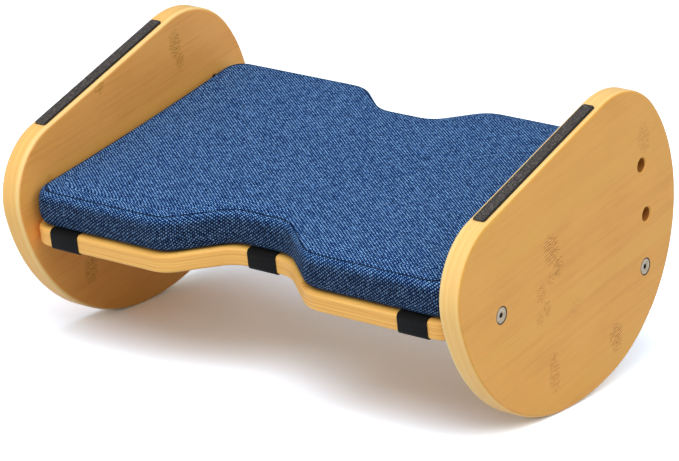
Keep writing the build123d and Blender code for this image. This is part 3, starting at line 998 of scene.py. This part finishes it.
def build_strap(side, middle, front, rear, material):
    """Webbing round the board: a box with no ends, open on top between the two tucked ends."""
    gap = STRAP_FIT + STRAP_THICKNESS / 2
    length, height = rear - front + 2 * gap, 2 * (BOARD_TOP + gap)
    bpy.ops.mesh.primitive_cube_add(size=MM, location=(middle * MM, (front + rear) / 2 * MM, 0),
                                    scale=(STRAP_WIDTH, length, height))
    strap = bpy.context.object
    strap.name = f"{side}_elastic"
    bpy.ops.object.transform_apply(location=True, rotation=True, scale=True)
    bpy.ops.object.mode_set(mode="EDIT")
    first, last = (front + STRAP_TUCK) * MM, (rear - STRAP_TUCK) * MM
    for cut in (first, last):
        bpy.ops.mesh.select_all(action="SELECT")
        bpy.ops.mesh.bisect(plane_co=(0, cut, 0), plane_no=(0, 1, 0))
    pick_parts("FACE", lambda at, normal: abs(normal.x) > 0.5
               or (normal.z > 0.5 and first < at.y < last))
    bpy.ops.mesh.delete(type="FACE")
    ends = ((front - gap) * MM, (rear + gap) * MM)
    pick_parts("EDGE", lambda at, run: abs(run.x) > abs(run.y) + abs(run.z)
               and min(abs(at.y - end) for end in ends) < 0.1 * MM)
    bpy.ops.mesh.bevel(offset=(STRAP_ROUND + gap) * MM, segments=ROUND_STEPS, affect="EDGES")
    bpy.ops.object.mode_set(mode="OBJECT")
    thick = strap.modifiers.new("thick", "SOLIDIFY")
    thick.thickness = STRAP_THICKNESS * MM
    thick.offset = 0.0
    soften = strap.modifiers.new("soften", "BEVEL")
    soften.width = STRAP_ARRIS * MM
    soften.segments = 2
    soften.limit_method = "ANGLE"
    soften.angle_limit = radians(ARRIS_ANGLE)
    apply_modifiers(strap)
    bpy.ops.object.shade_smooth_by_angle(angle=radians(SMOOTH_ANGLE))
    strap.data.transform(seat)
    strap.data.materials.append(material)
    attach(strap, "stool")
    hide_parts(f"{side}_strap")


# ---- grip strips ----------------------------------------------------------
GRIT_VOXEL = 0.45
GRIT_HEIGHT = 0.22
LUMPS_PER_METRE = 1400
SPECKS_PER_METRE = 2600
SPECK_SHARE = 0.6            # of a lump's height
GRIT_FACING = 0.2            # how much a place must face out of the groove to carry grit
WELD_DISTANCE = 0.01


def build_grip(side, material):
    """The strip's own mesh, made fine and given the knobbly top of loose grains in a binder."""
    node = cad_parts[f"{side}_grip_strip"]
    strip = bpy.data.objects.new(f"{side}_grip", node.data.copy())
    bpy.context.collection.objects.link(strip)
    merge = strip.modifiers.new("merge", "WELD")
    merge.merge_threshold = WELD_DISTANCE * MM
    fine = strip.modifiers.new("fine", "REMESH")
    fine.mode = "VOXEL"
    fine.voxel_size = GRIT_VOXEL * MM
    apply_modifiers(strip)
    up = Vector((0, -sin(radians(PANEL_LEAN)), cos(radians(PANEL_LEAN))))
    normals = [v.normal.copy() for v in strip.data.vertices]
    for vert, normal in zip(strip.data.vertices, normals):
        facing = normal.dot(up)
        if facing > GRIT_FACING:
            grain = noise.noise(vert.co * LUMPS_PER_METRE)
            grain += SPECK_SHARE * noise.noise(vert.co * SPECKS_PER_METRE)
            vert.co += up * (grain * GRIT_HEIGHT * MM * facing)
    for polygon in strip.data.polygons:
        polygon.use_smooth = True
    strip.data.materials.clear()
    strip.data.materials.append(material)
    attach(strip, "stool")
    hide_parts(f"{side}_grip_strip")


# ---- the object -----------------------------------------------------------
def paint(node, material):
    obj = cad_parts[node]
    obj.data.materials.clear()
    obj.data.materials.append(material)


add_camera()
add_floor()
set_world()
for softbox in SOFTBOXES:
    add_softbox(*softbox)

webbing = elastic()
grip = grit()
bolt_steel = steel("bolt_steel", srgb(152, 136, 114), 0.26)
zinc_steel = steel("zinc_steel", srgb(176, 178, 180), 0.40)

paint("right_side_panel", bamboo_panel("right"))
paint("left_side_panel", bamboo_panel("left"))
paint("seat_board", bamboo_board("bamboo_board", BOARD_SHIFT, -BOARD_TOP, BOARD_THICKNESS))
cleat_bamboo = bamboo_board("bamboo_cleat", CLEAT_SHIFT, CLEAT_LOW, CLEAT_SLAB)
for side in ("left", "right"):
    paint(f"{side}_rear_cleat", cleat_bamboo)
    for fastener in ("front_bolt", "rear_bolt"):
        paint(f"{side}_{fastener}", bolt_steel)
    for fastener in ("cross_nut", "threaded_insert"):
        paint(f"{side}_{fastener}", zinc_steel)
    build_grip(side, grip)
paint("cleat_screws", zinc_steel)

build_cushion(woven_cloth("blue_cloth", TOP_CLOTH, BAND_CLOTH_IN_SHADE), foam())
build_strap("left", -STRAP_OFFSET, BOARD_FRONT, BOARD_REAR, webbing)
build_strap("centre", 0.0, BOARD_FRONT + FRONT_WAIST, BOARD_REAR - REAR_WAIST, webbing)
build_strap("right", STRAP_OFFSET, BOARD_FRONT, BOARD_REAR, webbing)

bpy.context.scene.view_settings.view_transform = "Standard"
